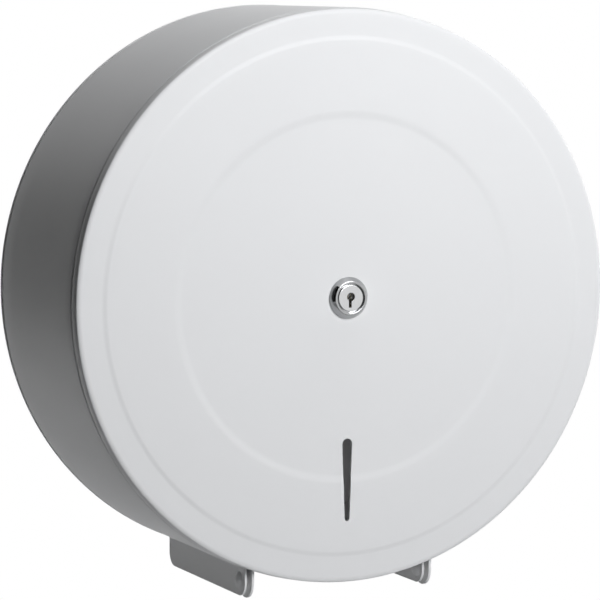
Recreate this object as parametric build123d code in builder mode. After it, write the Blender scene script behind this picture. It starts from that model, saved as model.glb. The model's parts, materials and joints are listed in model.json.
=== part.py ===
"""Jumbo toilet roll dispenser: a round steel drum with a hinged and locked lid.

The drum's axis is the Y axis. The wall is the plane Y = 0 and the front faces -Y.
A depth is always the distance in front of the wall, so it is -Y.
"""
import os
from math import cos, radians, sin, sqrt, tan

from build123d import *

# ------------------------------------------------------------------ driving dimensions, mm
sheet = 1.2                     # painted steel sheet of the casing and the lid
case_radius = 152.0             # outside of the back plate's rim
case_depth = 119.0              # wall to the flat of the lid
shell_inset = 0.2               # shell wall inside the back plate's rim radius
rim_clearance = 0.3             # shell's joggled rear end to the inside of the back plate's rim

back_rim_depth = 3.2
seam_gap = 0.4                  # in front of the back plate's rim, to the shell wall
wall_hole_spacing = 160.0       # square pattern of the wall screws
wall_hole_radius = 3.5

lid_rim_depth = 6.0
lid_inset = 0.4                 # open edge of the lid's rim, inside the back plate's rim
lid_draft = 6.0                 # degrees that the lid's rim leans in to the front
lid_corner_radius = 1.4
lid_gap = 0.6                   # parting gap between the shell and the lid's rim
swage_height = 0.4              # the ring between the two steps stands this far forward
inner_swage_margin = 55.6       # lid's edge to the middle of the inner step
inner_swage_width = 5.5
outer_swage_margin = 15.6
outer_swage_width = 3.4

sight_slot_margin = 34.5        # lid's edge to the centre of the narrow end
sight_slot_length = 39.7        # between the centres of its round ends
sight_slot_top_radius = 2.85
sight_slot_bottom_radius = 1.4

rear_flange_width = 9.0         # shell's foot on the back plate
front_lip_width = 7.5           # shell's turned-in front edge
rivet_radius = 1.6
rivet_head_radius = 3.0
rivet_head_height = 1.0
rivet_angles = (20, 55, 90, 125, 160, 200, 230, 310, 340)

mouth_width = 103.2             # between the middles of the two side flanges
mouth_shift = -2.8              # middle of the mouth, off the drum's axis
flange_bend_radius = 1.6
flange_rear_radius = 7.5

hinge_rise = 3.0                # hinge axis above the lowest point of the rims
hinge_setback = 15.6            # hinge axis behind the flat of the lid
flange_end_radius = 8.0         # flange end, round about the hinge
ear_radius = 9.4
ear_sheet = 1.5
ear_offset = 3.4                # middle of a flange to the middle of its ear
ear_foot_width = 11.0
ear_foot_height = 12.5
ear_corner_gap = 0.9            # ear and foot to the round corner inside the lid
ear_shoulder = 3.0              # height of the ear's rear edge above the hinge
ear_clearance = 1.5             # around an ear in the shell's relief

pin_radius = 2.5
pin_head_radius = 4.9
pin_head_height = 2.0
pin_clearance = 0.05
pin_end_gap = 0.2
pin_stub = 0.7
spacer_radius = 4.4
spacer_gap = 0.1
clip_radius = 4.2
clip_thickness = 0.8
clip_groove_radius = 1.9
clip_opening = 3.0

tear_bar_thickness = 1.0
tear_bar_height = 9.5           # up from the flange's lower edge
tear_bar_rear_gap = 6.0         # behind the bars, to the flange's rear edge
tear_bar_ear_gap = 4.0          # left bar's front end to the ear
right_bar_setback = 10.0        # the right bar ends this far behind the left one
tear_bar_recess = 0.8           # teeth end above the flange's lower edge
tooth_pitch = 3.0
tooth_height = 2.2

spindle_radius = 21.0
spindle_wall = 1.5
base_radius = 34.0
base_thickness = 2.0
stud_circle_radius = 28.5
stud_radius = 2.0
stud_clearance = 0.2
stud_end = 0.4
nut_flats = 7.0
nut_height = 3.2
end_ring_height = 4.0
end_ring_bore_radius = 13.2

keeper_radius = 24.0
keeper_thickness = 1.5
keeper_gap = 2.0                # keeper to the lock's barrel in front of it
keeper_slot_width = 9.0
keeper_slot_top = 13.2
keeper_slot_bottom = 5.2
keeper_screw_circle = 16.3
keeper_screw_radius = 1.45
keeper_screw_head_radius = 2.7
keeper_screw_head_height = 1.6
keeper_screw_length = 4.5
keeper_screw_angles = (30, 150, 270)
screw_clearance = 0.05

washer_radius = 24.2
washer_height = 4.1
hub_clearance = 0.06
hub_wall = 2.2
hub_rib_radius = 27.5
hub_rib_thickness = 2.4
hub_rib_count = 6
hub_collar_radius = 35.0
hub_collar_height = 2.5
hub_end_gap = 0.4
hub_lead_in = 8.0

buffer_radius = 2.7
buffer_gap = 0.3
buffer_angles = (90, 205, 335)

bezel_radius = 11.0
bezel_edge = 0.7
bezel_front_radius = 9.15
bezel_height = 4.0
bezel_recess = 0.5              # plug face behind the bezel's front ring
bezel_mouth_radius = 7.8
barrel_radius = 9.0
barrel_flats = 16.2
barrel_length = 20.5            # behind the flat of the lid
lock_hole_clearance = 0.1
lock_washer_thickness = 0.8
lock_washer_radius = 13.0
lock_washer_teeth = 12
lock_washer_notch_depth = 2.4
lock_washer_notch_width = 1.6
lock_nut_flats = 24.0
lock_nut_height = 4.0
plug_radius = 6.5
plug_clearance = 0.05
plug_head_radius = 7.05
plug_head_height = 2.5          # from the mouth's floor
plug_head_edge = 0.35
tail_width = 5.0
keyhole_radius = 2.25
keyhole_rise = 0.7              # middle of the keyhole's round above the lock's axis
keyhole_drop = 4.9              # end of its slit below the axis
keyhole_slit = 1.6
keyhole_slit_shift = 0.4        # the slit lies left of the middle
keyway_depth = 17.0
wafer_count = 3
wafer_pitch = 3.4
wafer_first = 5.5               # first wafer behind the plug's face
wafer_thickness = 1.0
wafer_width = 6.4
wafer_height = 11.0
wafer_clearance = 0.05

cam_length = 8.0                # lock axis to the centre of the cam's round end
cam_half_width = 4.0
cam_thickness = 2.0
cam_gap = 0.5                   # cam to the keeper in front of it
cam_screw_radius = 1.5
cam_screw_head_radius = 3.4
cam_screw_head_height = 2.4
cam_screw_length = 5.0

# ------------------------------------------------------------------ derived places
shell_radius = case_radius - shell_inset
seat_radius = case_radius - sheet - rim_clearance
wall_rear = back_rim_depth + seam_gap
shell_front = case_depth - lid_rim_depth - lid_gap
back_corner_radius = sheet + rim_clearance
lid_back = case_depth - lid_rim_depth
lid_inside = case_depth - sheet
lid_edge_radius = case_radius - lid_inset
draft_cosine = cos(radians(lid_draft))
draft_slope = tan(radians(lid_draft))
inner_swage_radius = lid_edge_radius - inner_swage_margin
outer_swage_radius = lid_edge_radius - outer_swage_margin
draft_start = case_depth - lid_corner_radius * (1 - sin(radians(lid_draft)))
rim_front_radius = lid_edge_radius - draft_slope * (draft_start - lid_back)
lid_flat_radius = rim_front_radius - lid_corner_radius * draft_cosine
sight_slot_bottom = lid_edge_radius - sight_slot_margin
sight_slot_top = sight_slot_bottom - sight_slot_length

hinge_depth = case_depth - hinge_setback
hinge_drop = case_radius - hinge_rise
flange_bottom = -(hinge_drop + flange_end_radius)
flange_front = hinge_depth + flange_end_radius
left_flange_x = mouth_shift - mouth_width / 2
right_flange_x = mouth_shift + mouth_width / 2

right_ear_x = right_flange_x + ear_offset
ear_step_drop = sqrt(lid_flat_radius ** 2 - (right_ear_x + ear_sheet / 2) ** 2) - ear_corner_gap
ear_foot_drop = sqrt(lid_flat_radius ** 2 - (right_ear_x + ear_foot_width) ** 2) - ear_corner_gap
ear_top_drop = ear_foot_drop - ear_foot_height

barrel_rear = case_depth - barrel_length
bezel_front = case_depth + bezel_height
plug_front = bezel_front - bezel_recess
mouth_floor = plug_front - plug_head_height
keeper_front = barrel_rear - keeper_gap
spindle_end_depth = keeper_front - keeper_thickness
cam_rear = spindle_end_depth - cam_gap - cam_thickness

base_front = sheet + base_thickness
washer_front = base_front + washer_height
hub_rear = washer_front + hub_end_gap
hub_front = spindle_end_depth - hub_end_gap

os.makedirs("parts", exist_ok=True)


# ------------------------------------------------------------------ helpers
def save(piece, label):
    """Label a finished piece and write it."""
    piece.part.label = label
    export_step(piece.part, f"parts/{label}.step")


def at_depth(depth):
    """The plane parallel to the wall at a depth, looking to the front."""
    return Plane.XZ.offset(depth)


def ring(depth, height, outer, inner):
    """Add a plain ring about the drum's axis to the open part."""
    with BuildSketch(at_depth(depth)) as section:
        Circle(outer)
        Circle(inner, mode=Mode.SUBTRACT)
    extrude(section.sketch, amount=height)


def swage(start, end):
    """Draw a smooth pressed step between two points of a lid profile."""
    middle = ((start[0] + end[0]) / 2, (start[1] + end[1]) / 2)
    first = TangentArc(start, middle, tangent=(1, 0))
    TangentArc(middle, end, tangent=first % 1)


def lid_skin(depth):
    """Draw one skin of the lid's flat with its raised ring, out to the rim's corner."""
    inner_start = (inner_swage_radius - inner_swage_width / 2, -depth)
    inner_end = (inner_swage_radius + inner_swage_width / 2, -depth - swage_height)
    outer_start = (outer_swage_radius - outer_swage_width / 2, -depth - swage_height)
    outer_end = (outer_swage_radius + outer_swage_width / 2, -depth)
    Line((0, -depth), inner_start)
    swage(inner_start, inner_end)
    Line(inner_end, outer_start)
    swage(outer_start, outer_end)
    Line(outer_end, (lid_flat_radius, -depth))


def bend_centre(flange_x, side):
    """Centre of the bend from the shell's wall down into a flange."""
    centre_x = flange_x + side * (sheet / 2 + flange_bend_radius)
    centre_z = -sqrt((shell_radius + flange_bend_radius) ** 2 - centre_x ** 2)
    return centre_x, centre_z


def flange_section(flange_x, side):
    """Draw a flange and its bend, seen along the drum's axis; side is -1 left, 1 right."""
    centre_x, centre_z = bend_centre(flange_x, side)
    reach = sqrt(centre_x ** 2 + centre_z ** 2)
    outward = (centre_x / reach, centre_z / reach)
    outer_joint = (outward[0] * shell_radius, outward[1] * shell_radius)
    inner_radius = shell_radius - sheet
    inner_joint = (outward[0] * inner_radius, outward[1] * inner_radius)
    outer_x = flange_x + side * sheet / 2
    inner_x = flange_x - side * sheet / 2
    with BuildLine() as outline:
        TangentArc((outer_x, centre_z), outer_joint, tangent=(0, 1))
        Line(outer_joint, inner_joint)
        TangentArc((inner_x, centre_z), inner_joint, tangent=(0, 1))
        Polyline(
            (inner_x, centre_z),
            (inner_x, flange_bottom),
            (outer_x, flange_bottom),
            (outer_x, centre_z),
        )
    make_face(outline.edges())


def shell_ring(depth, height, outer, inner):
    """Add a ring of the shell, open between the two bends at the mouth."""
    left = bend_centre(left_flange_x, -1)
    right = bend_centre(right_flange_x, 1)
    with BuildSketch(at_depth(depth)) as section:
        Circle(outer)
        Circle(inner, mode=Mode.SUBTRACT)
        with BuildLine():
            Polyline(
                (0, 0),
                (left[0] * 1.1, left[1] * 1.1),
                (right[0] * 1.1, right[1] * 1.1),
                close=True,
            )
        make_face(mode=Mode.SUBTRACT)
    extrude(section.sketch, amount=height)


def polar(radius, angle):
    """Point at an angle on a circle about the drum's axis, in a plane parallel to the wall."""
    point = Vector(radius, 0).rotate(Axis.Z, angle)
    return point.X, point.Y


# ------------------------------------------------------------------ casing
rivet_circle = seat_radius - sheet - rear_flange_width / 2
rivet_places = [polar(rivet_circle, angle) for angle in rivet_angles]

# The back plate is a shallow pan: its rim holds the shell's rear edge.
with BuildPart() as back_plate:
    with BuildSketch(Plane.XY):
        with BuildLine():
            corner = case_radius - back_corner_radius
            Line((0, 0), (corner, 0))
            TangentArc((corner, 0), (case_radius, -back_corner_radius), tangent=(1, 0))
            Polyline(
                (case_radius, -back_corner_radius),
                (case_radius, -back_rim_depth),
                (case_radius - sheet, -back_rim_depth),
                (case_radius - sheet, -back_corner_radius),
            )
            TangentArc((corner, -sheet), (case_radius - sheet, -back_corner_radius), tangent=(1, 0))
            Polyline((corner, -sheet), (0, -sheet), (0, 0))
        make_face()
    revolve(axis=Axis.Y)
    with BuildSketch(at_depth(0)):
        with GridLocations(wall_hole_spacing, wall_hole_spacing, 2, 2):
            Circle(wall_hole_radius)
        with Locations(*rivet_places):
            Circle(rivet_radius)
    extrude(amount=sheet, mode=Mode.SUBTRACT)
save(back_plate, "back_plate")

# The shell is the round wall with a front lip and a flange down each side of the mouth.
# Its rear end is joggled in to seat inside the back plate's rim, and ends in a foot.
with BuildPart() as drum_shell:
    shell_inside = shell_radius - sheet
    lip_inside = shell_inside - front_lip_width
    seat_inside = seat_radius - sheet
    shell_ring(sheet, sheet, seat_radius, seat_inside - rear_flange_width)
    shell_ring(sheet, wall_rear, seat_radius, seat_inside)
    shell_ring(wall_rear, sheet, shell_radius, seat_inside)
    shell_ring(wall_rear, shell_front - wall_rear, shell_radius, shell_inside)
    shell_ring(shell_front - sheet, sheet, shell_radius, lip_inside)
    with BuildSketch(at_depth(wall_rear)):
        flange_section(left_flange_x, -1)
        flange_section(right_flange_x, 1)
    extrude(amount=flange_front - wall_rear)
    lower_corners = drum_shell.edges().filter_by(Axis.X).group_by(Axis.Z)[0].group_by(Axis.Y)
    fillet(lower_corners[-1], flange_rear_radius)
    lower_corners = drum_shell.edges().filter_by(Axis.X).group_by(Axis.Z)[0].group_by(Axis.Y)
    fillet(lower_corners[0], flange_end_radius - 0.01)
    # relief for the right ear, which turns outside its flange; it passes the lip's end at the mouth
    bend_x, relief_bottom = bend_centre(right_flange_x, 1)
    lip_end = bend_x * lip_inside / (shell_radius + flange_bend_radius)
    relief_left = lip_end - ear_clearance
    relief_right = right_ear_x + ear_sheet / 2 + ear_clearance
    relief_rear = hinge_depth - ear_radius - ear_clearance
    relief_top = ear_clearance - sqrt(lip_inside ** 2 - relief_right ** 2)
    with BuildSketch(at_depth(relief_rear)):
        with Locations((relief_left, relief_bottom)):
            Rectangle(
                relief_right - relief_left,
                relief_top - relief_bottom,
                align=(Align.MIN, Align.MIN),
            )
    extrude(amount=case_depth - relief_rear, mode=Mode.SUBTRACT)
    with BuildSketch(at_depth(sheet)):
        with Locations(*rivet_places):
            Circle(rivet_radius)
    extrude(amount=sheet, mode=Mode.SUBTRACT)
    # hinge pin holes
    with BuildSketch(Plane.YZ.offset(-case_radius)):
        with Locations((-hinge_depth, -hinge_drop)):
            Circle(pin_radius)
    extrude(amount=2 * case_radius, mode=Mode.SUBTRACT)
save(drum_shell, "drum_shell")

with BuildPart() as shell_rivets:
    with BuildSketch(at_depth(0)):
        with Locations(*rivet_places):
            Circle(rivet_radius)
    extrude(amount=2 * sheet)
    with BuildSketch(at_depth(2 * sheet)):
        with Locations(*rivet_places):
            Circle(rivet_head_radius)
    extrude(amount=rivet_head_height)
    rims = shell_rivets.faces().sort_by(Axis.Y)[: len(rivet_places)].edges()
    fillet(rims, rivet_head_height * 0.8)
save(shell_rivets, "shell_rivets")


# ------------------------------------------------------------------ tear bars
def tear_bar_outline(rear, front):
    """Draw a serrated strip from depth rear to depth front."""
    top = flange_bottom + tear_bar_height
    tip = flange_bottom + tear_bar_recess
    teeth = int((front - rear) / tooth_pitch)
    corners = [(-front, top), (-rear, top), (-rear, tip + tooth_height)]
    for tooth in range(teeth):
        start = rear + tooth * tooth_pitch
        corners.append((-(start + tooth_pitch / 2), tip))
        corners.append((-(start + tooth_pitch), tip + tooth_height))
    corners.append((-front, tip + tooth_height))
    with BuildLine() as outline:
        Polyline(*dict.fromkeys(corners), close=True)
    make_face(outline.edges())


tear_bar_rear = wall_rear + tear_bar_rear_gap
left_bar_front = hinge_depth - ear_radius - tear_bar_ear_gap
right_bar_front = left_bar_front - right_bar_setback

with BuildPart() as tear_bar_left:
    with BuildSketch(Plane.YZ.offset(left_flange_x + sheet / 2)):
        tear_bar_outline(tear_bar_rear, left_bar_front)
    extrude(amount=tear_bar_thickness)
save(tear_bar_left, "tear_bar_left")

with BuildPart() as tear_bar_right:
    with BuildSketch(Plane.YZ.offset(right_flange_x - sheet / 2)):
        tear_bar_outline(tear_bar_rear, right_bar_front)
    extrude(amount=-tear_bar_thickness)
save(tear_bar_right, "tear_bar_right")


# ------------------------------------------------------------------ spindle
with BuildPart() as spindle_base:
    with BuildSketch(at_depth(sheet)):
        Circle(base_radius)
        Circle(spindle_radius - spindle_wall, mode=Mode.SUBTRACT)
        with PolarLocations(stud_circle_radius, 4, start_angle=45):
            Circle(stud_radius + stud_clearance, mode=Mode.SUBTRACT)
    extrude(amount=base_thickness)
    fillet(spindle_base.faces().sort_by(Axis.Y)[0].outer_wire().edges(), base_thickness * 0.4)
save(spindle_base, "spindle_base")

with BuildPart() as spindle_studs:
    with BuildSketch(at_depth(sheet)):
        with PolarLocations(stud_circle_radius, 4, start_angle=45):
            Circle(stud_radius)
    extrude(amount=base_thickness + nut_height + stud_end)
save(spindle_studs, "spindle_studs")

with BuildPart() as spindle_nuts:
    with BuildSketch(at_depth(base_front)):
        with PolarLocations(stud_circle_radius, 4, start_angle=45):
            RegularPolygon(nut_flats / 2, 6, major_radius=False)
            Circle(stud_radius, mode=Mode.SUBTRACT)
    extrude(amount=nut_height)
save(spindle_nuts, "spindle_nuts")

with BuildPart() as spindle_tube:
    ring(base_front, spindle_end_depth - base_front, spindle_radius, spindle_radius - spindle_wall)
save(spindle_tube, "spindle_tube")

keeper_screw_places = [polar(keeper_screw_circle, angle) for angle in keeper_screw_angles]

with BuildPart() as spindle_end_ring:
    with BuildSketch(at_depth(spindle_end_depth - end_ring_height)):
        Circle(spindle_radius - spindle_wall)
        Circle(end_ring_bore_radius, mode=Mode.SUBTRACT)
        with Locations(*keeper_screw_places):
            Circle(keeper_screw_radius + screw_clearance, mode=Mode.SUBTRACT)
    extrude(amount=end_ring_height)
save(spindle_end_ring, "spindle_end_ring")

# The lid's cam passes the keeper's upright slot and turns behind the plate.
with BuildPart() as keeper_plate:
    with BuildSketch(at_depth(spindle_end_depth)):
        Circle(keeper_radius)
        with Locations((0, (keeper_slot_top - keeper_slot_bottom) / 2)):
            SlotOverall(
                keeper_slot_top + keeper_slot_bottom,
                keeper_slot_width,
                rotation=90,
                mode=Mode.SUBTRACT,
            )
        with Locations(*keeper_screw_places):
            Circle(keeper_screw_radius + screw_clearance, mode=Mode.SUBTRACT)
    extrude(amount=keeper_thickness)
    fillet(keeper_plate.faces().sort_by(Axis.Y)[0].outer_wire().edges(), keeper_thickness * 0.5)
save(keeper_plate, "keeper_plate")

with BuildPart() as keeper_screws:
    with BuildSketch(at_depth(keeper_front - keeper_screw_length)):
        with Locations(*keeper_screw_places):
            Circle(keeper_screw_radius)
    extrude(amount=keeper_screw_length)
    with BuildSketch(at_depth(keeper_front)):
        with Locations(*keeper_screw_places):
            Circle(keeper_screw_head_radius)
    extrude(amount=keeper_screw_head_height)
    head_rims = keeper_screws.faces().sort_by(Axis.Y)[: len(keeper_screw_places)].edges()
    fillet(head_rims, keeper_screw_head_height * 0.5)
save(keeper_screws, "keeper_screws")

with BuildPart() as hub_washer:
    ring(base_front, washer_height, washer_radius, spindle_radius + hub_clearance)
save(hub_washer, "hub_washer")

# The roll's core sits on the ribs of the hub, which turns on the spindle tube.
with BuildPart() as core_hub:
    hub_bore = spindle_radius + hub_clearance
    sleeve_radius = hub_bore + hub_wall
    ring(hub_rear, hub_collar_height, hub_collar_radius, hub_bore)
    with BuildSketch(at_depth(hub_rear)):
        Circle(sleeve_radius)
        with PolarLocations((hub_bore + hub_rib_radius) / 2, hub_rib_count):
            Rectangle(hub_rib_radius - hub_bore, hub_rib_thickness)
        Circle(hub_bore, mode=Mode.SUBTRACT)
    extrude(amount=hub_front - hub_rear)
    with BuildSketch(Plane.XY):
        with BuildLine():
            Polyline(
                (sleeve_radius, -hub_front),
                (hub_rib_radius + hub_wall, -hub_front),
                (hub_rib_radius + hub_wall, -hub_front + hub_lead_in),
                (hub_rib_radius, -hub_front + hub_lead_in),
                close=True,
            )
        make_face()
    revolve(axis=Axis.Y, mode=Mode.SUBTRACT)
save(core_hub, "core_hub")


# ------------------------------------------------------------------ hinge
dome_radius = (pin_head_radius ** 2 + pin_head_height ** 2) / (2 * pin_head_height)


def hinge_pin(flange_x):
    """A headed pin from the flange's left face through its ear to past the clip."""
    head_x = flange_x - sheet / 2
    groove_x = flange_x + ear_offset + ear_sheet / 2 + pin_end_gap
    end_x = groove_x + clip_thickness + pin_stub
    with BuildPart() as pin:
        with BuildSketch(Plane.YZ.offset(head_x)):
            with Locations((-hinge_depth, -hinge_drop)):
                Circle(pin_radius)
        extrude(amount=end_x - head_x)
        with BuildSketch(Plane.YZ.offset(groove_x)):
            with Locations((-hinge_depth, -hinge_drop)):
                Circle(pin_radius)
                Circle(clip_groove_radius, mode=Mode.SUBTRACT)
        extrude(amount=clip_thickness, mode=Mode.SUBTRACT)
        # domed head: an arc turned about the pin
        with BuildSketch(Plane.XY.offset(-hinge_drop)):
            with BuildLine():
                crown = (head_x - pin_head_height, -hinge_depth)
                foot = (head_x, -hinge_depth - pin_head_radius)
                RadiusArc(crown, foot, -dome_radius)
                Polyline(foot, (head_x, -hinge_depth), crown)
            make_face()
        revolve(axis=Axis((0, -hinge_depth, -hinge_drop), (1, 0, 0)))
    return pin


for side, flange_x in (("left", left_flange_x), ("right", right_flange_x)):
    save(hinge_pin(flange_x), f"hinge_pin_{side}")

with BuildPart() as hinge_spacers:
    for flange_x in (left_flange_x, right_flange_x):
        with BuildSketch(Plane.YZ.offset(flange_x + sheet / 2 + spacer_gap)):
            with Locations((-hinge_depth, -hinge_drop)):
                Circle(spacer_radius)
                Circle(pin_radius + pin_clearance, mode=Mode.SUBTRACT)
        extrude(amount=ear_offset - sheet / 2 - ear_sheet / 2 - 2 * spacer_gap)
save(hinge_spacers, "hinge_spacers")

with BuildPart() as hinge_clips:
    for flange_x in (left_flange_x, right_flange_x):
        clip_x = flange_x + ear_offset + ear_sheet / 2 + pin_end_gap
        with BuildSketch(Plane.YZ.offset(clip_x)):
            with Locations((-hinge_depth, -hinge_drop)):
                Circle(clip_radius)
                Circle(clip_groove_radius, mode=Mode.SUBTRACT)
                Rectangle(
                    clip_opening,
                    clip_radius,
                    align=(Align.CENTER, Align.MAX),
                    mode=Mode.SUBTRACT,
                )
        extrude(amount=clip_thickness)
save(hinge_clips, "hinge_clips")


# ------------------------------------------------------------------ lid
lock_hole_radius = barrel_radius + lock_hole_clearance
lock_hole_flats = barrel_flats + 2 * lock_hole_clearance

with BuildPart() as lid_panel:
    with BuildSketch(Plane.XY):
        with BuildLine():
            lid_skin(case_depth)
            turn = 90 - lid_draft
            outer_turn = JernArc((lid_flat_radius, -case_depth), (1, 0), lid_corner_radius, turn)
            inner_radius = lid_corner_radius - sheet
            inner_turn = JernArc((lid_flat_radius, -lid_inside), (1, 0), inner_radius, turn)
            Polyline(
                outer_turn @ 1,
                (lid_edge_radius, -lid_back),
                (lid_edge_radius - sheet / draft_cosine, -lid_back),
                inner_turn @ 1,
            )
            lid_skin(lid_inside)
            Line((0, -lid_inside), (0, -case_depth))
        make_face()
    revolve(axis=Axis.Y)
    with BuildSketch(at_depth(lid_inside)):
        Circle(lock_hole_radius)
        Rectangle(lock_hole_flats, 2 * lock_hole_radius, mode=Mode.INTERSECT)
    extrude(amount=sheet, mode=Mode.SUBTRACT)
    with BuildSketch(at_depth(lid_inside)):
        with Locations((0, -sight_slot_top)):
            Circle(sight_slot_top_radius)
        with Locations((0, -sight_slot_bottom)):
            Circle(sight_slot_bottom_radius)
        make_hull()
    extrude(amount=sheet + swage_height, mode=Mode.SUBTRACT)
save(lid_panel, "lid_panel")


def lid_ear(ear_x):
    """An ear: a plate that turns on the hinge pin, with a foot on the lid's inner face."""
    rear = -hinge_depth + ear_radius
    front = -hinge_depth - ear_radius
    with BuildPart() as ear:
        with BuildSketch(Plane.YZ.offset(ear_x - ear_sheet / 2)):
            with BuildLine():
                ThreePointArc(
                    (rear, -hinge_drop),
                    (-hinge_depth, -hinge_drop - ear_radius),
                    (front, -hinge_drop),
                )
                Polyline(
                    (front, -hinge_drop),
                    (front, -ear_step_drop),
                    (-lid_inside, -ear_step_drop),
                    (-lid_inside, -ear_top_drop),
                    (-lid_back, -ear_top_drop),
                    (rear, -hinge_drop + ear_shoulder),
                    (rear, -hinge_drop),
                )
            make_face()
            with Locations((-hinge_depth, -hinge_drop)):
                Circle(pin_radius + pin_clearance, mode=Mode.SUBTRACT)
        extrude(amount=ear_sheet)
        with BuildSketch(at_depth(lid_inside - ear_sheet)):
            with Locations((ear_x, -ear_foot_drop)):
                Rectangle(ear_foot_width, ear_foot_drop - ear_top_drop, align=(Align.MIN, Align.MIN))
        extrude(amount=ear_sheet)
    return ear


for side, flange_x in (("left", left_flange_x), ("right", right_flange_x)):
    save(lid_ear(flange_x + ear_offset), f"lid_ear_{side}")

buffer_circle = shell_radius - sheet - front_lip_width / 2

with BuildPart() as lid_buffers:
    with BuildSketch(at_depth(shell_front + buffer_gap)):
        with Locations(*[polar(buffer_circle, angle) for angle in buffer_angles]):
            Circle(buffer_radius)
    extrude(amount=lid_inside - shell_front - buffer_gap)
    fillet(lid_buffers.faces().sort_by(Axis.Y)[-len(buffer_angles):].edges(), buffer_radius * 0.3)
save(lid_buffers, "lid_buffers")


# ------------------------------------------------------------------ lock
bore_radius = plug_radius + plug_clearance

with BuildPart() as lock_housing:
    with BuildSketch(at_depth(barrel_rear)):
        Circle(barrel_radius)
        Rectangle(barrel_flats, 2 * barrel_radius, mode=Mode.INTERSECT)
    extrude(amount=case_depth - barrel_rear)
    with BuildSketch(Plane.XY):
        with BuildLine():
            Polyline(
                (0, -case_depth),
                (bezel_radius, -case_depth),
                (bezel_radius, -case_depth - bezel_edge),
                (bezel_front_radius, -bezel_front + bezel_edge / 2),
                (bezel_front_radius - bezel_edge / 2, -bezel_front),
                (0, -bezel_front),
                close=True,
            )
        make_face()
    revolve(axis=Axis.Y)
    with BuildSketch(at_depth(barrel_rear)):
        Circle(bore_radius)
    extrude(amount=bezel_front - barrel_rear, mode=Mode.SUBTRACT)
    with BuildSketch(at_depth(mouth_floor)):
        Circle(bezel_mouth_radius)
    extrude(amount=bezel_front - mouth_floor, mode=Mode.SUBTRACT)
save(lock_housing, "lock_housing")

with BuildPart() as lock_washer:
    with BuildSketch(at_depth(lid_inside - lock_washer_thickness)):
        Circle(lock_washer_radius)
        Circle(barrel_radius, mode=Mode.SUBTRACT)
        with PolarLocations(lock_washer_radius, lock_washer_teeth):
            Rectangle(lock_washer_notch_depth, lock_washer_notch_width, mode=Mode.SUBTRACT)
    extrude(amount=lock_washer_thickness)
save(lock_washer, "lock_washer")

with BuildPart() as lock_nut:
    with BuildSketch(at_depth(lid_inside - lock_washer_thickness - lock_nut_height)):
        RegularPolygon(lock_nut_flats / 2, 6, major_radius=False)
        Circle(barrel_radius, mode=Mode.SUBTRACT)
    extrude(amount=lock_nut_height)
save(lock_nut, "lock_nut")


def keyhole(mode=Mode.ADD):
    """Draw the keyhole: a round with a slit below it."""
    with Locations((0, keyhole_rise)):
        Circle(keyhole_radius, mode=mode)
    with Locations((-keyhole_slit_shift, keyhole_rise)):
        Rectangle(
            keyhole_slit,
            keyhole_rise + keyhole_drop,
            align=(Align.CENTER, Align.MAX),
            mode=mode,
        )


wafer_depths = [plug_front - wafer_first - number * wafer_pitch for number in range(wafer_count)]

with BuildPart() as lock_plug:
    with BuildSketch(at_depth(barrel_rear)):
        Circle(plug_radius)
    extrude(amount=mouth_floor - barrel_rear)
    with BuildSketch(at_depth(mouth_floor)):
        Circle(plug_head_radius)
    extrude(amount=plug_head_height)
    fillet(lock_plug.faces().sort_by(Axis.Y)[0].edges(), plug_head_edge)
    with BuildSketch(at_depth(cam_rear)):
        Rectangle(tail_width, tail_width)
    extrude(amount=barrel_rear - cam_rear)
    with BuildSketch(at_depth(plug_front - keyway_depth)):
        keyhole()
    extrude(amount=keyway_depth, mode=Mode.SUBTRACT)
    for depth in wafer_depths:
        with BuildSketch(at_depth(depth - wafer_clearance)):
            Rectangle(wafer_width + 2 * wafer_clearance, 2 * plug_radius)
        extrude(amount=wafer_thickness + 2 * wafer_clearance, mode=Mode.SUBTRACT)
    with BuildSketch(at_depth(cam_rear)):
        Circle(cam_screw_radius)
    extrude(amount=cam_screw_length, mode=Mode.SUBTRACT)
save(lock_plug, "lock_plug")

with BuildPart() as lock_wafers:
    for depth in wafer_depths:
        with BuildSketch(at_depth(depth)):
            Rectangle(wafer_width, wafer_height)
            keyhole(mode=Mode.SUBTRACT)
        extrude(amount=wafer_thickness)
save(lock_wafers, "lock_wafers")

with BuildPart() as lock_cam:
    with BuildSketch(at_depth(cam_rear)):
        Circle(cam_half_width)
        with Locations((0, cam_length)):
            Circle(cam_half_width)
        make_hull()
        Rectangle(tail_width, tail_width, mode=Mode.SUBTRACT)
    extrude(amount=cam_thickness)
save(lock_cam, "lock_cam")

with BuildPart() as cam_screw:
    with BuildSketch(at_depth(cam_rear)):
        Circle(cam_screw_radius)
    extrude(amount=cam_screw_length)
    with BuildSketch(at_depth(cam_rear - cam_screw_head_height)):
        Circle(cam_screw_head_radius)
    extrude(amount=cam_screw_head_height)
    fillet(cam_screw.faces().sort_by(Axis.Y)[-1].edges(), cam_screw_head_height * 0.3)
save(cam_screw, "cam_screw")
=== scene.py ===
import json
from math import atan2, cos, pi, radians, sin, sqrt

import bmesh
import bpy
from mathutils import Matrix, Vector


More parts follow.
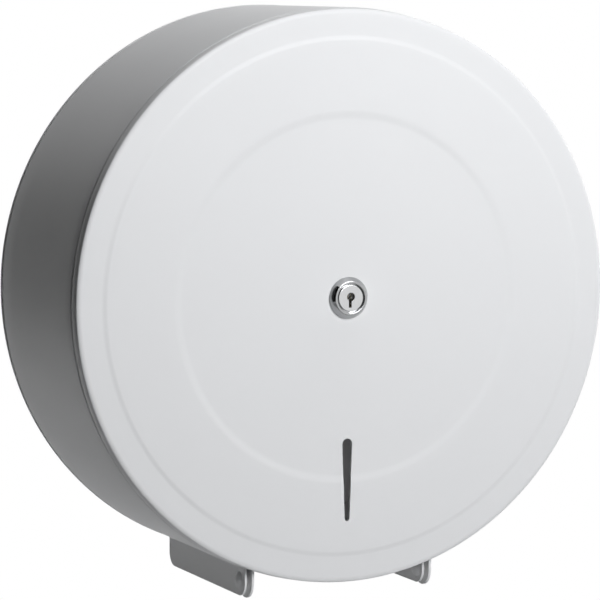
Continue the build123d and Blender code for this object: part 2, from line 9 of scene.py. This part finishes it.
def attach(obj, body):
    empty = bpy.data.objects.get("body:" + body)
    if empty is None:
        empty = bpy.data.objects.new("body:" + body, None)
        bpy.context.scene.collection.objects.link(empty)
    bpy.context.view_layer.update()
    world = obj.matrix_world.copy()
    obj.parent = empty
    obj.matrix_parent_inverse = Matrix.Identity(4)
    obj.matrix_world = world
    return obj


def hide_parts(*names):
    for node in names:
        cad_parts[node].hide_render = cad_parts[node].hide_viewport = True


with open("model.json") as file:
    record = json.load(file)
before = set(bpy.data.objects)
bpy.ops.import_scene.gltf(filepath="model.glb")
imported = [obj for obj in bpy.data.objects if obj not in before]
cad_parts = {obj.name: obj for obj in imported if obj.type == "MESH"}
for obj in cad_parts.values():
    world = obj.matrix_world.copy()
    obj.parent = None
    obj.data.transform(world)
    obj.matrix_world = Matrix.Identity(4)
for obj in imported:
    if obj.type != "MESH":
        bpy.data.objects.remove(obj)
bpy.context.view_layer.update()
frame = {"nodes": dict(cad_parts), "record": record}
nodes = frame["nodes"]

# Sizes are in millimetres, as on the drawing, and depth is the distance in front of the wall (-Y).
MM = 0.001
SHEET = 1.2
CASE_RADIUS = 152.0
CASE_DEPTH = 119.0
BACK_RIM_DEPTH = 3.2
SHELL_RADIUS = 151.8
SEAT_RADIUS = 150.5  # the shell's rear end, inside the back plate's rim
SHELL_FRONT = 112.4
LIP_WIDTH = 7.5
FOOT_WIDTH = 9.0
LID_BACK = 113.0
LID_EDGE = 151.6
LID_DRAFT = 6.0  # degrees
LID_LEAN = 0.5  # the rim's front is this much narrower than its open edge
SWAGE_HEIGHT = 0.4
INNER_SWAGE = (93.25, 98.75)
OUTER_SWAGE = (134.3, 137.7)
HINGE_DEPTH = 103.4
HINGE_DROP = 149.0
FLANGE_REAR = 3.6
FLANGE_FRONT = 111.4
FLANGE_END_RADIUS = 8.0
FLANGE_CORNER = 7.5
LEFT_FLANGE = -54.4
RIGHT_FLANGE = 48.8
BEND_RADIUS = 1.6  # inside of the bend from the wall to a flange
BEND_MIDDLE = BEND_RADIUS + SHEET / 2


# ------------------------------------------------------------------ camera
YAW, PITCH, ROLL = 23.83, 5.64, 0.31  # degrees
CAMERA_TARGET = (0.0249, 0.0, -0.0131)
CAMERA_DISTANCE = 1.824
FOCAL_LENGTH, SENSOR_WIDTH = 195.0, 36.0


def aim_camera():
    """Place the camera at the photograph's viewing angle."""
    yaw, pitch, roll = radians(YAW), radians(PITCH), radians(ROLL)
    forward = Vector((sin(yaw) * cos(pitch), cos(yaw) * cos(pitch), -sin(pitch)))
    level = Vector((cos(yaw), -sin(yaw), 0.0))
    above = level.cross(forward)
    right = cos(roll) * level + sin(roll) * above
    up = cos(roll) * above - sin(roll) * level
    data = bpy.data.cameras.new("camera")
    data.lens = FOCAL_LENGTH
    data.sensor_width = SENSOR_WIDTH
    data.clip_end = 20.0
    camera = bpy.data.objects.new("camera", data)
    bpy.context.scene.collection.objects.link(camera)
    turn = Matrix((right, up, -forward)).transposed().to_4x4()
    place = Vector(CAMERA_TARGET) - CAMERA_DISTANCE * forward
    camera.matrix_world = Matrix.Translation(place) @ turn
    bpy.context.scene.camera = camera


aim_camera()


# ------------------------------------------------------------------ materials
class Paint:
    """A node material with short calls for its texture nodes."""

    def __init__(self, name, color, metallic, roughness, specular=0.5):
        self.material = bpy.data.materials.new(name)
        self.material.use_nodes = True
        self.tree = self.material.node_tree
        self.shader = self.tree.nodes["Principled BSDF"]
        self.shader.inputs["Base Color"].default_value = (*color, 1.0)
        self.shader.inputs["Metallic"].default_value = metallic
        self.shader.inputs["Roughness"].default_value = roughness
        self.shader.inputs["Specular IOR Level"].default_value = specular
        self.place = self.add("ShaderNodeTexCoord").outputs["Object"]
        self.normal = None

    def add(self, kind, **settings):
        node = self.tree.nodes.new(kind)
        for key, value in settings.items():
            setattr(node, key, value)
        return node

    def link(self, start, end):
        self.tree.links.new(start, end)

    def stretched(self, scale):
        """Object coordinates stretched by a factor on each axis."""
        mapping = self.add("ShaderNodeMapping")
        mapping.inputs["Scale"].default_value = scale
        self.link(self.place, mapping.inputs["Vector"])
        return mapping.outputs["Vector"]

    def noise(self, scale, detail=2.0, stretch=(1, 1, 1)):
        node = self.add("ShaderNodeTexNoise")
        node.inputs["Scale"].default_value = scale
        node.inputs["Detail"].default_value = detail
        self.link(self.stretched(stretch), node.inputs["Vector"])
        return node.outputs["Fac"]

    def turned(self, scale, distortion=0.0):
        """Concentric turned grain about the drum's axis."""
        node = self.add("ShaderNodeTexWave", wave_type="RINGS", rings_direction="Y")
        node.inputs["Scale"].default_value = scale
        node.inputs["Distortion"].default_value = distortion
        self.link(self.place, node.inputs["Vector"])
        return node.outputs["Fac"]

    def spread(self, value, low, high):
        """Map a texture of 0 to 1 to a range."""
        node = self.add("ShaderNodeMapRange")
        node.inputs["To Min"].default_value = low
        node.inputs["To Max"].default_value = high
        self.link(value, node.inputs["Value"])
        return node.outputs["Result"]

    def roughen(self, value, low, high):
        self.link(self.spread(value, low, high), self.shader.inputs["Roughness"])

    def tint(self, value, first, second):
        ramp = self.add("ShaderNodeValToRGB")
        ramp.color_ramp.elements[0].color = (*first, 1.0)
        ramp.color_ramp.elements[1].color = (*second, 1.0)
        ramp.color_ramp.elements[0].position = 0.3
        ramp.color_ramp.elements[1].position = 0.7
        self.link(value, ramp.inputs["Fac"])
        self.link(ramp.outputs["Color"], self.shader.inputs["Base Color"])

    def bump(self, value, strength, distance):
        node = self.add("ShaderNodeBump")
        node.inputs["Strength"].default_value = strength
        node.inputs["Distance"].default_value = distance
        self.link(value, node.inputs["Height"])
        if self.normal:
            self.link(self.normal, node.inputs["Normal"])
        self.normal = node.outputs["Normal"]
        self.link(self.normal, self.shader.inputs["Normal"])


def make_materials():
    """One finish for each material slot of the record."""
    for plain in list(bpy.data.materials):
        bpy.data.materials.remove(plain)
    made = {}

    def keep(paint):
        made[paint.material.name] = paint.material

    enamel = Paint("white_enamel", (0.80, 0.805, 0.81), 0.0, 0.42, 0.35)
    enamel.tint(enamel.noise(9.0, 2.0), (0.795, 0.80, 0.806), (0.805, 0.81, 0.815))
    enamel.roughen(enamel.noise(40.0, 3.0), 0.40, 0.46)
    enamel.bump(enamel.noise(620.0, 2.0), 0.12, 0.00006)
    keep(enamel)

    pin = Paint("painted_pin", (0.78, 0.785, 0.79), 0.0, 0.38, 0.4)
    pin.roughen(pin.noise(300.0, 2.0), 0.33, 0.45)
    pin.bump(pin.noise(900.0, 2.0), 0.15, 0.00005)
    keep(pin)

    zinc = Paint("zinc_steel", (0.62, 0.63, 0.65), 1.0, 0.34)
    zinc.tint(zinc.noise(120.0, 4.0), (0.56, 0.57, 0.59), (0.66, 0.67, 0.69))
    zinc.roughen(zinc.noise(90.0, 4.0), 0.26, 0.44)
    zinc.bump(zinc.noise(1500.0, 2.0), 0.10, 0.00003)
    keep(zinc)

    stainless = Paint("stainless_steel", (0.60, 0.60, 0.60), 1.0, 0.30)
    stainless.roughen(stainless.noise(60.0, 3.0, (1, 1, 40)), 0.24, 0.40)
    stainless.bump(stainless.noise(80.0, 2.0, (1, 1, 60)), 0.15, 0.00004)
    keep(stainless)

    chrome = Paint("chrome_plate", (0.42, 0.425, 0.43), 1.0, 0.1)
    chrome.roughen(chrome.noise(400.0, 4.0), 0.08, 0.14)
    chrome.bump(chrome.noise(250.0, 2.0), 0.015, 0.00005)
    keep(chrome)

    nickel = Paint("satin_nickel", (0.57, 0.575, 0.58), 1.0, 0.2)
    nickel.roughen(nickel.turned(900.0, 1.5), 0.14, 0.24)
    nickel.bump(nickel.turned(700.0, 0.6), 0.10, 0.00003)
    nickel.bump(nickel.noise(2200.0, 2.0), 0.12, 0.00003)
    keep(nickel)

    # The brass is kept far darker than bright brass: painted shade, which stands in for the shade
    # inside the keyhole where the wafers sit.
    brass = Paint("brass_wafer", (0.38, 0.31, 0.18), 1.0, 0.35)
    brass.roughen(brass.noise(700.0, 3.0), 0.28, 0.46)
    brass.bump(brass.noise(900.0, 2.0, (1, 8, 1)), 0.12, 0.00003)
    keep(brass)

    nylon = Paint("nylon", (0.86, 0.85, 0.80), 0.0, 0.48)
    nylon.shader.inputs["Subsurface Weight"].default_value = 0.15
    nylon.shader.inputs["Subsurface Scale"].default_value = 0.002
    nylon.roughen(nylon.noise(200.0, 3.0), 0.42, 0.56)
    nylon.bump(nylon.noise(1200.0, 2.0), 0.10, 0.00004)
    keep(nylon)

    plastic = Paint("hub_plastic", (0.30, 0.31, 0.33), 0.0, 0.46)
    plastic.tint(plastic.noise(60.0, 3.0), (0.285, 0.295, 0.315), (0.31, 0.32, 0.34))
    plastic.roughen(plastic.noise(300.0, 2.0), 0.40, 0.54)
    plastic.bump(plastic.noise(1800.0, 2.0), 0.18, 0.00005)
    keep(plastic)

    rubber = Paint("black_rubber", (0.035, 0.035, 0.038), 0.0, 0.72)
    rubber.roughen(rubber.noise(500.0, 3.0), 0.62, 0.82)
    rubber.bump(rubber.noise(1500.0, 2.0), 0.25, 0.00006)
    keep(rubber)
    return made


materials = make_materials()
slot_of = {part["node"]: part["material_slot"] for part in frame["record"]["subparts"]}


# ------------------------------------------------------------------ mesh tools
def add_piece(name, bm, body, slot):
    """Put a finished mesh in the scene, riding on a body, with the finish of a slot."""
    mesh = bpy.data.meshes.new(name)
    bm.to_mesh(mesh)
    bm.free()
    mesh.materials.append(materials[slot])
    mesh.shade_smooth()
    mesh.set_sharp_from_angle(angle=radians(35))
    piece = bpy.data.objects.new(name, mesh)
    bpy.context.scene.collection.objects.link(piece)
    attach(piece, body)
    return piece


def arc(centre, radius, start, end, steps):
    """Points on an arc, with the angles in degrees."""
    return [
        (
            centre[0] + radius * cos(radians(start + (end - start) * i / steps)),
            centre[1] + radius * sin(radians(start + (end - start) * i / steps)),
        )
        for i in range(steps + 1)
    ]


def lathe(profile, segments, start=0.0, end=360.0):
    """Turn a closed profile of (radius, depth) about the drum's axis."""
    bm = bmesh.new()
    full = end - start >= 360.0
    count = segments if full else segments + 1
    rings = []
    for i in range(count):
        angle = radians(start + (end - start) * i / segments)
        rings.append(
            [bm.verts.new((r * cos(angle) * MM, -d * MM, r * sin(angle) * MM)) for r, d in profile]
        )
    pairs = list(zip(rings, rings[1:])) + ([(rings[-1], rings[0])] if full else [])
    for first, second in pairs:
        for j in range(len(profile)):
            k = (j + 1) % len(profile)
            bm.faces.new((first[j], first[k], second[k], second[j]))
    if not full:
        bm.faces.new(rings[0])
        bm.faces.new(rings[-1])
    bmesh.ops.recalc_face_normals(bm, faces=bm.faces)
    return bm


def prism(outline, rear, front):
    """Extrude an outline of (x, z) between two depths."""
    bm = bmesh.new()
    back = [bm.verts.new((x * MM, -rear * MM, z * MM)) for x, z in outline]
    face = [bm.verts.new((x * MM, -front * MM, z * MM)) for x, z in outline]
    for i in range(len(outline)):
        k = (i + 1) % len(outline)
        bm.faces.new((back[i], back[k], face[k], face[i]))
    bm.faces.new(back)
    bm.faces.new(face)
    bmesh.ops.recalc_face_normals(bm, faces=bm.faces)
    return bm


def cut(bm, cutter):
    """Take one closed mesh from another and return the result."""
    pair = []
    for name, source in (("cut_target", bm), ("cut_tool", cutter)):
        mesh = bpy.data.meshes.new(name)
        source.to_mesh(mesh)
        source.free()
        pair.append(bpy.data.objects.new(name, mesh))
        bpy.context.scene.collection.objects.link(pair[-1])
    change = pair[0].modifiers.new("cut", "BOOLEAN")
    change.operation = "DIFFERENCE"
    change.solver = "EXACT"
    change.object = pair[1]
    bpy.context.view_layer.update()
    shown = pair[0].evaluated_get(bpy.context.evaluated_depsgraph_get())
    result = bmesh.new()
    result.from_mesh(shown.to_mesh())
    shown.to_mesh_clear()
    for each in pair:
        mesh = each.data
        bpy.data.objects.remove(each)
        bpy.data.meshes.remove(mesh)
    return result


def soften(piece, width, angle, segments=2):
    """Round a piece's edges with a bevel."""
    bevel = piece.modifiers.new("soft_edges", "BEVEL")
    bevel.width = width * MM
    bevel.segments = segments
    bevel.limit_method = "ANGLE"
    bevel.angle_limit = radians(angle)


# ------------------------------------------------------------------ lid
LOCK_HOLE = 9.1
LID_FLAT_END = 142.0
LID_ROUND = 0.25
SLOT_TOP, SLOT_BOTTOM = (-77.4, 2.85), (-117.1, 1.4)  # height and radius of each end


def swage(start, end, steps):
    """A smooth pressed step of a profile: a half wave between two points."""
    points = []
    for i in range(steps + 1):
        t = i / steps
        rise = (1 - cos(pi * t)) / 2
        points.append((start[0] + (end[0] - start[0]) * t, start[1] + (end[1] - start[1]) * rise))
    return points


def lid_skin(depth):
    """One skin of the lid's flat from the lock hole out to the rim's corner."""
    raised = depth + SWAGE_HEIGHT
    points = [(r, depth) for r in (LOCK_HOLE, 40.0, 75.0, 90.0)]
    points += swage((INNER_SWAGE[0], depth), (INNER_SWAGE[1], raised), 14)
    points += [(r, raised) for r in (105.0, 120.0, 131.0)]
    points += swage((OUTER_SWAGE[0], raised), (OUTER_SWAGE[1], depth), 12)
    points += [(LID_FLAT_END, depth)]
    return points


def lid_corner(front_radius, depth, reach, drop, steps):
    """The flat's edge rolls over in a quarter of an ellipse and meets the drafted rim."""
    points = []
    for i in range(steps + 1):
        angle = radians(90 - (90 - LID_DRAFT) * i / steps)
        points.append((front_radius - reach + reach * cos(angle), depth - drop + drop * sin(angle)))
    return points


def slot_outline(top, bottom):
    """The sight slot tapers from its round top end to its round lower end: (z, radius) of each."""
    lean = (top[1] - bottom[1]) / (top[0] - bottom[0]) * 180 / pi
    outline = arc((0.0, top[0]), top[1], -lean, 180 + lean, 20)
    return outline + arc((0.0, bottom[0]), bottom[1], 180 + lean, 360 - lean, 14)


def make_lid():
    front = LID_EDGE - LID_LEAN
    outside = lid_skin(CASE_DEPTH) + lid_corner(front, CASE_DEPTH, 2.8, 1.25, 12)
    rim_end = arc((LID_EDGE - LID_ROUND, LID_BACK + LID_ROUND), LID_ROUND, 0, -90, 3)
    rim_end += arc((LID_EDGE - SHEET + LID_ROUND, LID_BACK + LID_ROUND), LID_ROUND, -90, -180, 3)
    inside = lid_corner(front - SHEET, CASE_DEPTH - SHEET, 0.6, 0.4, 4)[::-1]
    inside += lid_skin(CASE_DEPTH - SHEET)[::-1]
    bm = lathe(outside + rim_end + inside, 384)
    cutter = prism(slot_outline(SLOT_TOP, SLOT_BOTTOM), CASE_DEPTH - 4, CASE_DEPTH + 4)
    panel = add_piece("lid_panel_formed", cut(bm, cutter), "lid", "white_enamel")
    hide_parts("lid_panel")


make_lid()


# ------------------------------------------------------------------ casing
EDGE = 0.2  # rounding of the sheet's edges
WALL_TURN = 1.4  # outside of the wall's turn into the front lip
NOTCH_LEFT = RIGHT_FLANGE - 1.5
NOTCH_RIGHT = 54.45
NOTCH_TOP = -130.8
NOTCH_DEPTHS = (92.5, 116.0)
WALL_HOLE_RADIUS = 3.5
WALL_HOLE_REACH = 80.0


def bend_centre(flange_x, side):
    x = flange_x + side * BEND_MIDDLE
    return x, -sqrt((SHELL_RADIUS + BEND_RADIUS) ** 2 - x ** 2)


def flange_depths(z):
    """Rear and front edge of a flange at a height: a round corner behind, a round end in front."""
    rear, front = FLANGE_REAR, FLANGE_FRONT
    below_corner = FLANGE_CORNER - HINGE_DROP - FLANGE_END_RADIUS - z
    if below_corner > 0:
        rear += FLANGE_CORNER - sqrt(max(0.0, FLANGE_CORNER ** 2 - below_corner ** 2))
    if z < -HINGE_DROP:
        front = HINGE_DEPTH + sqrt(max(0.0, FLANGE_END_RADIUS ** 2 - (-HINGE_DROP - z) ** 2))
    return rear, front


def flange_path(flange_x, side):
    """Middle of a flange and its bend, seen from the front: each point with its normal."""
    cx, cz = bend_centre(flange_x, side)
    first = 0.0 if side < 0 else 180.0
    joint = atan2(-cz, -cx) * 180 / pi
    heights = [-HINGE_DROP - FLANGE_END_RADIUS * sin(radians(a)) for a in range(90, 0, -9)]
    path = [((flange_x, z), (-side, 0.0)) for z in heights + [-HINGE_DROP, -HINGE_DROP + 2.5]]
    for i in range(13):
        angle = radians(first + (joint - first) * i / 12)
        nx, nz = cos(angle), sin(angle)
        path.append(((cx + BEND_MIDDLE * nx, cz + BEND_MIDDLE * nz), (nx, nz)))
    return path


def flange_sheet(flange_x, side, columns=24):
    """A flange with its bend: a sheet of two skins along its path."""
    path = flange_path(flange_x, side)
    bm = bmesh.new()
    skins = []
    for offset in (-SHEET / 2, SHEET / 2):
        skin = []
        for (x, z), (nx, nz) in path:
            rear, front = flange_depths(z)
            row = []
            for j in range(columns + 1):
                depth = rear + (front - rear) * j / columns
                row.append(
                    bm.verts.new(((x + nx * offset) * MM, -depth * MM, (z + nz * offset) * MM))
                )
            skin.append(row)
        skins.append(skin)
    near, far = skins
    last = len(path) - 1
    for i in range(last):
        for j in range(columns):
            bm.faces.new((near[i][j], near[i][j + 1], near[i + 1][j + 1], near[i + 1][j]))
            bm.faces.new((far[i][j], far[i][j + 1], far[i + 1][j + 1], far[i + 1][j]))
        for j in (0, columns):
            bm.faces.new((near[i][j], near[i + 1][j], far[i + 1][j], far[i][j]))
    for i in (0, last):
        for j in range(columns):
            bm.faces.new((near[i][j], near[i][j + 1], far[i][j + 1], far[i][j]))
    bmesh.ops.recalc_face_normals(bm, faces=bm.faces)
    return bm


def shell_profile():
    """The wall with its front lip, and its rear end joggled in to a foot on the back plate."""
    inside = SHELL_RADIUS - SHEET
    seat_inside = SEAT_RADIUS - SHEET
    lip, foot = inside - LIP_WIDTH, seat_inside - FOOT_WIDTH
    profile = [(SHELL_RADIUS, 20.0 + 7.5 * i) for i in range(12)]
    profile += arc((SHELL_RADIUS - WALL_TURN, SHELL_FRONT - WALL_TURN), WALL_TURN, 0, 90, 6)
    profile += [(lip, SHELL_FRONT), (lip, SHELL_FRONT - SHEET), (inside, SHELL_FRONT - SHEET)]
    profile += [(inside, 80.0), (inside, 40.0), (inside, FLANGE_REAR + SHEET)]
    profile += [(seat_inside, FLANGE_REAR + SHEET), (seat_inside, 2 * SHEET)]
    profile += [(foot, 2 * SHEET), (foot, SHEET)]
    profile += arc((SEAT_RADIUS - 0.5, SHEET + 0.5), 0.5, -90, 0, 4)
    profile += [(SEAT_RADIUS, FLANGE_REAR)]
    profile += arc((SHELL_RADIUS - 0.35, FLANGE_REAR + 0.35), 0.35, -90, 0, 4)
    return profile


def make_shell():
    left, right = bend_centre(LEFT_FLANGE, -1), bend_centre(RIGHT_FLANGE, 1)
    start = atan2(right[1], right[0]) * 180 / pi
    end = atan2(left[1], left[0]) * 180 / pi + 360
    ring = lathe(shell_profile(), 340, start, end)
    # The notch leaves room for the right ear, which turns outside its flange.
    notch = [(NOTCH_LEFT, right[1]), (NOTCH_RIGHT, right[1])]
    notch += [(NOTCH_RIGHT, NOTCH_TOP), (NOTCH_LEFT, NOTCH_TOP)]
    ring = cut(ring, prism(notch, *NOTCH_DEPTHS))
    bend = cut(flange_sheet(RIGHT_FLANGE, 1), prism(notch, *NOTCH_DEPTHS))
    left_flange = flange_sheet(LEFT_FLANGE, -1)
    rows = (("drum_wall", ring, 2), ("flange_left", left_flange, 3), ("flange_right", bend, 3))
    for name, bm, segments in rows:
        piece = add_piece(name, bm, "casing", "white_enamel")
        soften(piece, EDGE, 60, segments)
        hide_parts("drum_shell")


def make_back_plate():
    corner = 1.5
    centre = (CASE_RADIUS - corner, corner)
    rings = (30.0, 60.0, 90.0, 120.0, 140.0)
    profile = [(0.0, 0.0)] + [(r, 0.0) for r in rings]
    profile += arc(centre, corner, -90, 0, 6)
    profile += arc((CASE_RADIUS - EDGE, BACK_RIM_DEPTH - EDGE), EDGE, 0, 90, 3)
    profile += arc((CASE_RADIUS - SHEET + EDGE, BACK_RIM_DEPTH - EDGE), EDGE, 90, 180, 3)
    profile += arc(centre, corner - SHEET, 0, -90, 3)
    profile += [(r, SHEET) for r in rings[::-1]] + [(0.0, SHEET)]
    bm = lathe(profile, 384)
    bmesh.ops.remove_doubles(bm, verts=bm.verts, dist=1e-7)
    bmesh.ops.recalc_face_normals(bm, faces=bm.faces)
    for x in (-WALL_HOLE_REACH, WALL_HOLE_REACH):
        for z in (-WALL_HOLE_REACH, WALL_HOLE_REACH):
            bm = cut(bm, prism(arc((x, z), WALL_HOLE_RADIUS, 0, 350, 35), -3.0, 5.0))
    plate = add_piece("back_pan", bm, "casing", "white_enamel")
    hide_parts("back_plate")


make_shell()
make_back_plate()


# ------------------------------------------------------------------ lock
BEZEL_FRONT = 123.0
BARREL_REAR = 98.5
BARREL_RADIUS = 9.0
BARREL_HALF_WIDTH = 8.1  # over its two flats
MOUTH_RADIUS = 7.8
MOUTH_DEPTH = 3.0
BORE_RADIUS = 6.55


def make_lock_housing():
    floor = BEZEL_FRONT - MOUTH_DEPTH
    profile = [(BARREL_RADIUS, BARREL_REAR + 0.4), (BARREL_RADIUS, CASE_DEPTH), (10.8, CASE_DEPTH)]
    profile += arc((10.75, CASE_DEPTH + 0.25), 0.25, -90, 0, 3)
    profile += arc((10.6, CASE_DEPTH + 0.6), 0.4, 0, 35, 4)
    profile += arc((8.75, BEZEL_FRONT - 0.45), 0.45, 35, 90, 5)
    profile += arc((MOUTH_RADIUS + 0.25, BEZEL_FRONT - 0.25), 0.25, 90, 180, 4)
    profile += [(MOUTH_RADIUS, floor), (BORE_RADIUS, floor), (BORE_RADIUS, BARREL_REAR)]
    profile += [(BARREL_RADIUS - 0.4, BARREL_REAR)]
    bm = lathe(profile, 128)
    for side in (-1, 1):
        near, far = BARREL_HALF_WIDTH * side, 14.0 * side
        flat = [(near, -12), (far, -12), (far, 12), (near, 12)]
        bm = cut(bm, prism(flat, BARREL_REAR - 3, CASE_DEPTH - 0.02))
    housing = add_piece("lock_body", bm, "lid", "chrome_plate")
    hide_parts("lock_housing")


make_lock_housing()


# ------------------------------------------------------------------ CAD pieces that stay
def dress_cad(replaced):
    """Give every CAD piece that shows its finish, and round its edges."""
    wide = {"lid_ear_left", "lid_ear_right", "core_hub"}
    for name, node in nodes.items():
        node.data.materials.clear()
        node.data.materials.append(materials[slot_of[name]])
        for polygon in node.data.polygons:
            polygon.material_index = 0
        if name in replaced:
            continue
        join = node.modifiers.new("join", "WELD")
        join.merge_threshold = 0.000002
        soften(node, 0.3 if name in wide else 0.12, 40)


dress_cad({"lid_panel", "drum_shell", "back_plate", "lock_housing"})


# ------------------------------------------------------------------ floor, light and background
FLOOR_PLACE = (0.0, -0.4, -0.62)
FLOOR_RADIUS = 2.2
FLOOR_FADE = (1.0, 2.1)
FLOOR_GLOW = 0.6
LAMP_COLOR = (0.98, 0.986, 1.0)
LAMPS = (  # name, place, target, size, power in watts, spread in degrees
    ("key", (0.22, -1.0, 0.38), (0, -0.1, 0), 0.5, 9.1, None),
    ("near_top", (0.2, -0.2, 1.1), (0, -0.05, 0), 0.5, 2.9, None),
    ("top_left", (-0.25, 0.1, 0.9), (0, -0.05, 0), 0.4, 0.4, None),
    ("below", (-0.12, -0.06, -0.58), (-0.1, -0.06, 0), 0.3, 0.15, None),
    ("behind", (0.6, 1.5, -0.1), (0, 0, 0), 0.8, 2.3, 70.0),
    ("right_side", (1.7, 0.2, 0.1), (0, -0.05, 0), 0.8, 1.9, 70.0),
)
FLAG_PLACE = -1.1
FLAGS = (  # name, range along Y, range of heights
    ("flag_left", (-2.4, 0.3), (-0.4, 1.5)),
    ("flag_rear", (0.3, 2.0), (-0.4, 0.75)),
)


def make_floor():
    """A round pale floor well below the drum, which fades out into the white background."""
    bm = bmesh.new()
    bmesh.ops.create_circle(bm, cap_ends=True, segments=64, radius=FLOOR_RADIUS)
    mesh = bpy.data.meshes.new("floor")
    bm.to_mesh(mesh)
    bm.free()
    floor = bpy.data.objects.new("floor", mesh)
    floor.location = FLOOR_PLACE
    bpy.context.scene.collection.objects.link(floor)
    paint = Paint("floor_paper", (0.82, 0.82, 0.82), 0.0, 0.9, 0.1)
    seen = paint.add("ShaderNodeLightPath").outputs["Is Camera Ray"]
    paint.shader.inputs["Emission Color"].default_value = (1, 1, 1, 1)
    paint.link(paint.spread(seen, 0.0, FLOOR_GLOW), paint.shader.inputs["Emission Strength"])
    length = paint.add("ShaderNodeVectorMath", operation="LENGTH")
    paint.link(paint.place, length.inputs[0])
    fade = paint.add("ShaderNodeMapRange", interpolation_type="SMOOTHSTEP")
    fade.inputs["From Min"].default_value = FLOOR_FADE[0]
    fade.inputs["From Max"].default_value = FLOOR_FADE[1]
    paint.link(length.outputs["Value"], fade.inputs["Value"])
    clear = paint.add("ShaderNodeBsdfTransparent")
    mix = paint.add("ShaderNodeMixShader")
    paint.link(fade.outputs["Result"], mix.inputs["Fac"])
    paint.link(paint.shader.outputs["BSDF"], mix.inputs[1])
    paint.link(clear.outputs["BSDF"], mix.inputs[2])
    paint.link(mix.outputs["Shader"], paint.tree.nodes["Material Output"].inputs["Surface"])
    mesh.materials.append(paint.material)


def add_lamp(name, place, target, size, power, spread):
    """A square soft lamp. One with a narrow spread keeps off the floor and casts no highlight."""
    data = bpy.data.lights.new(name, "AREA")
    data.shape = "SQUARE"
    data.size = size
    data.energy = power
    data.color = LAMP_COLOR
    lamp = bpy.data.objects.new(name, data)
    bpy.context.scene.collection.objects.link(lamp)
    lamp.location = place
    lamp.rotation_euler = (Vector(target) - Vector(place)).to_track_quat("-Z", "Y").to_euler()
    lamp.visible_camera = False
    if spread:
        data.spread = radians(spread)
        lamp.visible_glossy = False


def make_world():
    """White where it is seen directly, in gloss and through glass; it gives no other light."""
    world = bpy.data.worlds.new("studio")
    bpy.context.scene.world = world
    world.use_nodes = True
    tree = world.node_tree
    path = tree.nodes.new("ShaderNodeLightPath")
    seen = None
    for ray in ("Is Glossy Ray", "Is Transmission Ray"):
        add = tree.nodes.new("ShaderNodeMath")
        add.operation = "MAXIMUM"
        tree.links.new(seen or path.outputs["Is Camera Ray"], add.inputs[0])
        tree.links.new(path.outputs[ray], add.inputs[1])
        seen = add.outputs[0]
    background = tree.nodes["Background"]
    background.inputs["Color"].default_value = (1, 1, 1, 1)
    tree.links.new(seen, background.inputs["Strength"])


def add_flag(name, along, heights):
    """A black card left of the set, which dims one side as a photographer's flag does."""
    corners = [(along[0], heights[0]), (along[1], heights[0])]
    corners += [(along[1], heights[1]), (along[0], heights[1])]
    bm = bmesh.new()
    bm.faces.new([bm.verts.new((FLAG_PLACE, y, z)) for y, z in corners])
    mesh = bpy.data.meshes.new(name)
    bm.to_mesh(mesh)
    bm.free()
    flag = bpy.data.objects.new(name, mesh)
    bpy.context.scene.collection.objects.link(flag)
    paint = Paint(name, (0.01, 0.01, 0.01), 0.0, 0.9, 0.0)
    mesh.materials.append(paint.material)
    flag.visible_camera = False


make_floor()
make_world()
for flag_row in FLAGS:
    add_flag(*flag_row)
for lamp_row in LAMPS:
    add_lamp(*lamp_row)

view = bpy.context.scene.view_settings
view.view_transform = "Standard"
